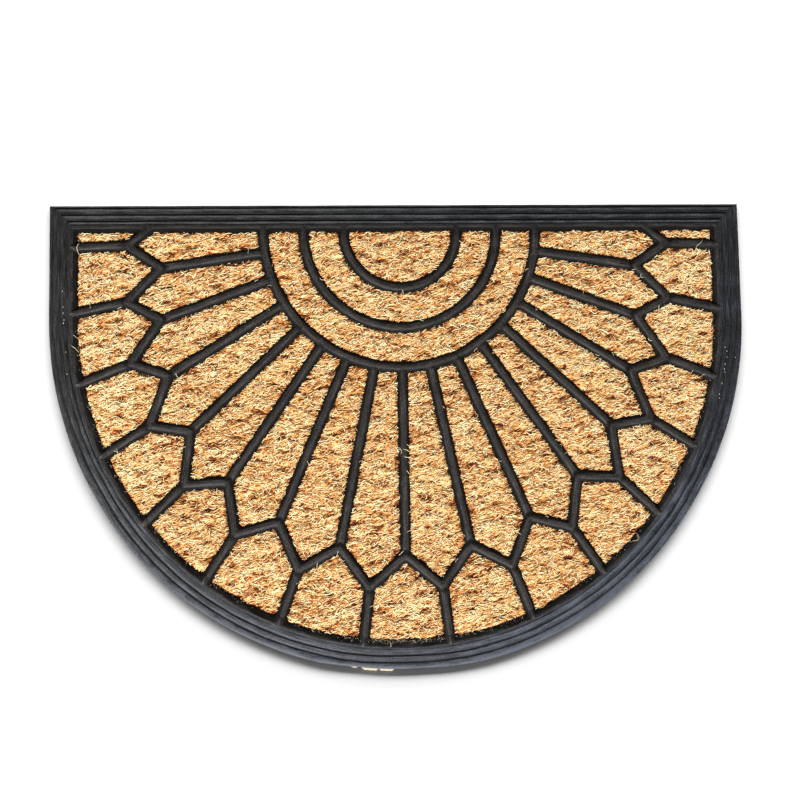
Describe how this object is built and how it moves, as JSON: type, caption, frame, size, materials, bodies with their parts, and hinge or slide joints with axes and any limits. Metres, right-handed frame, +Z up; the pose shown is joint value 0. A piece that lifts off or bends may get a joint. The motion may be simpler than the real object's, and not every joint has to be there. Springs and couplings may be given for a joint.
{
  "type": "coir doormat",
  "caption": "Half-round doormat: one woven coir panel held in a black moulded rubber border with a fan of raised ribs. Lies flat on the floor and brushes dirt from shoes.",
  "frame": {"origin": "on the floor, under the middle of the mat's footprint", "axes": "+X along the straight edge to the right, +Y towards the straight edge, +Z up"},
  "size_m": [0.6, 0.398, 0.009],
  "materials": {
    "rubber_black": "matt black moulded rubber with a faint blue-grey bloom, dusty along the steps",
    "coir_woven": "golden tan coconut fibre, coarsely woven in rows, matt and bristly"
  },
  "bodies": {
    "root": {"rubber_moulding": "rubber_black", "coir_panel": "coir_woven"}
  },
  "joints": []
}
